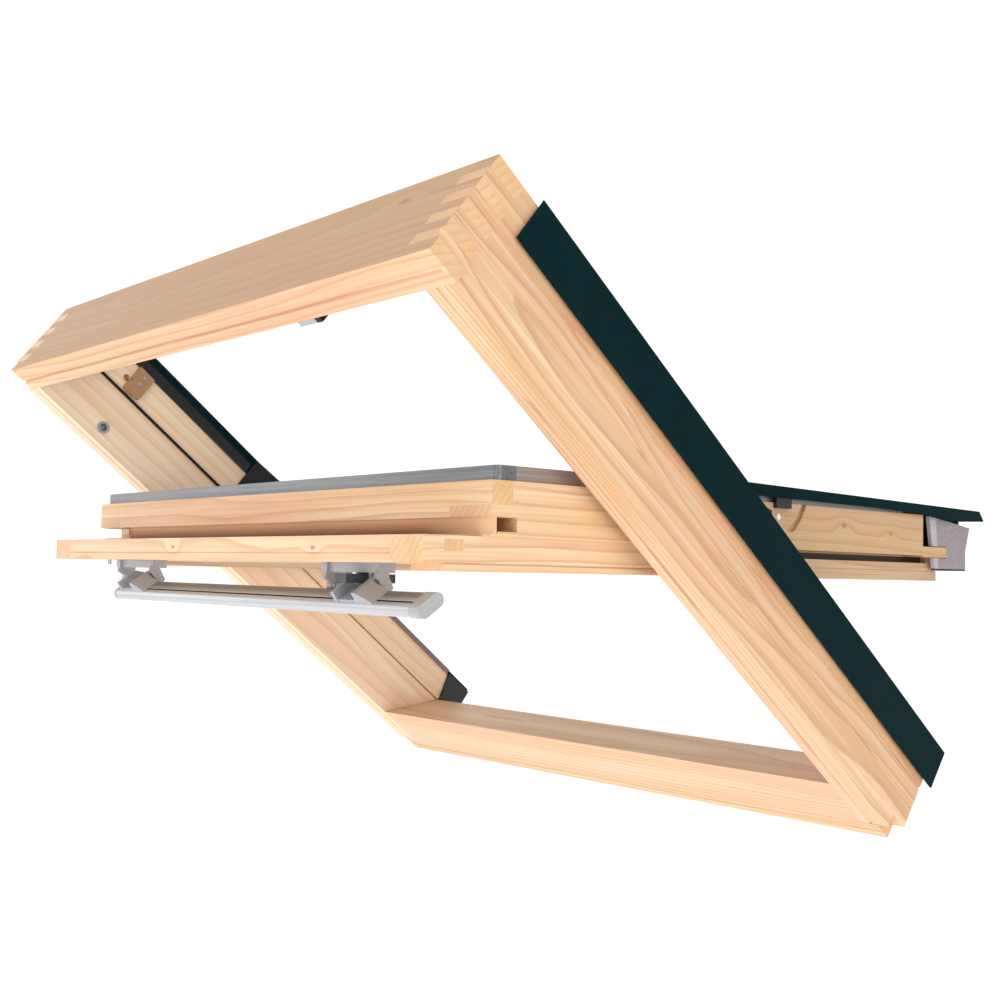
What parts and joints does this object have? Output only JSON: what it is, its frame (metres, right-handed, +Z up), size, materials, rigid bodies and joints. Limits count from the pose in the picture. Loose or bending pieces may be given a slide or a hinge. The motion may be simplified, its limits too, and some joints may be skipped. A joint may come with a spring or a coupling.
{
  "type": "roof window",
  "caption": "Centre-pivot roof window: pine frame with dark covers, pine sash with a double glass unit turned on side hinges, control bar with latch.",
  "frame": {"origin": "middle of the lower end face of the sill, in the plane that faces down the roof", "axes": "+Z up, +X along the pivot axis to the right as seen from the room, +Y level and away from the room; the frame leans at a 40 degree roof pitch, its head at -Y and +Z"},
  "size_m": [0.788, 0.8161, 0.5646],
  "materials": {
    "frame_pine": "clear satin lacquer on pale pine",
    "sash_pine": "clear satin lacquer on pale pine",
    "brown_strip": "matt",
    "seal_rubber": "matt",
    "gasket_rubber": "matt, ribbed",
    "dark_cover": "satin coated sheet",
    "clip_steel": "zinc plated",
    "black_plastic": "matt",
    "brown_plastic": "matt",
    "mauve_plastic": "matt",
    "zinc_steel": "zinc plated",
    "hinge_steel": "black coated steel",
    "white_plastic": "matt",
    "grey_aluminium": "brushed, grey",
    "spacer_aluminium": "satin",
    "glass": "clear",
    "silver_aluminium": "satin anodised",
    "silver_plastic": "satin grey"
  },
  "bodies": {
    "frame": {"head_rail": "frame_pine", "right_jamb": "frame_pine", "left_jamb": "frame_pine", "sill_rail": "frame_pine", "right_jamb_seal": "seal_rubber", "left_jamb_seal": "seal_rubber", "sill_seal": "seal_rubber", "head_seal": "seal_rubber", "right_jamb_cover": "dark_cover", "left_jamb_cover": "dark_cover", "cover_clips": "clip_steel", "right_cover_gasket": "gasket_rubber", "left_cover_gasket": "gasket_rubber", "right_end_piece": "black_plastic", "left_end_piece": "black_plastic", "right_packer": "brown_plastic", "left_packer": "brown_plastic", "packer_screws": "zinc_steel", "bolt_bushing": "zinc_steel", "latch_keeper": "zinc_steel", "keeper_screws": "zinc_steel", "right_frame_hinge_plate": "hinge_steel", "left_frame_hinge_plate": "hinge_steel", "hinge_pins": "zinc_steel", "friction_washers": "zinc_steel", "frame_hinge_screws": "zinc_steel"},
    "sash": {"top_rail": "sash_pine", "bottom_rail": "sash_pine", "right_stile": "sash_pine", "left_stile": "sash_pine", "vent_strip": "brown_strip", "strip_peg": "sash_pine", "inner_pane": "glass", "outer_pane": "glass", "glass_spacer": "spacer_aluminium", "glazing_seal": "seal_rubber", "right_glazing_profile": "grey_aluminium", "left_glazing_profile": "grey_aluminium", "top_glazing_profile": "grey_aluminium", "right_sash_cover": "dark_cover", "left_sash_cover": "dark_cover", "bottom_sash_cover": "dark_cover", "hinge_blocks": "black_plastic", "right_corner_cap": "mauve_plastic", "left_corner_cap": "mauve_plastic", "right_sash_hinge_plate": "hinge_steel", "left_sash_hinge_plate": "hinge_steel", "sash_hinge_screws": "zinc_steel", "hinge_plugs": "white_plastic", "right_bar_bracket": "silver_aluminium", "left_bar_bracket": "silver_aluminium", "bracket_pins": "silver_aluminium", "bracket_screws": "zinc_steel"},
    "bar": {"control_bar": "silver_aluminium", "right_bar_cap": "silver_plastic", "left_bar_cap": "silver_plastic", "right_bar_lever": "silver_aluminium", "left_bar_lever": "silver_aluminium"},
    "latch": {"latch_tongue": "zinc_steel"},
    "bolt": {"barrel_bolt": "zinc_steel"}
  },
  "joints": [
    {"name": "sash_pivot", "type": "hinge", "parent": "frame", "child": "sash", "pos_m": [0, -0.19728, 0.29477], "axis": [1, 0, 0], "range_deg": [-38.5, 94]},
    {"name": "bar_turn", "type": "hinge", "parent": "sash", "child": "bar", "pos_m": [0, -0.51668, 0.22454], "axis": [1, 0, 0], "range_deg": [-12, 38]},
    {"name": "latch_slide", "type": "slide", "parent": "sash", "child": "latch", "axis": [0, -0.9997, 0.0262], "range_m": [-0.007, 0.0221]},
    {"name": "bolt_slide", "type": "slide", "parent": "sash", "child": "bolt", "axis": [-1, 0, 0], "range_m": [0, 0.028]}
  ],
  "couplings": [
    {"joint": "latch_slide", "follows": "bar_turn", "m_per_rad": 0.0332}
  ]
}
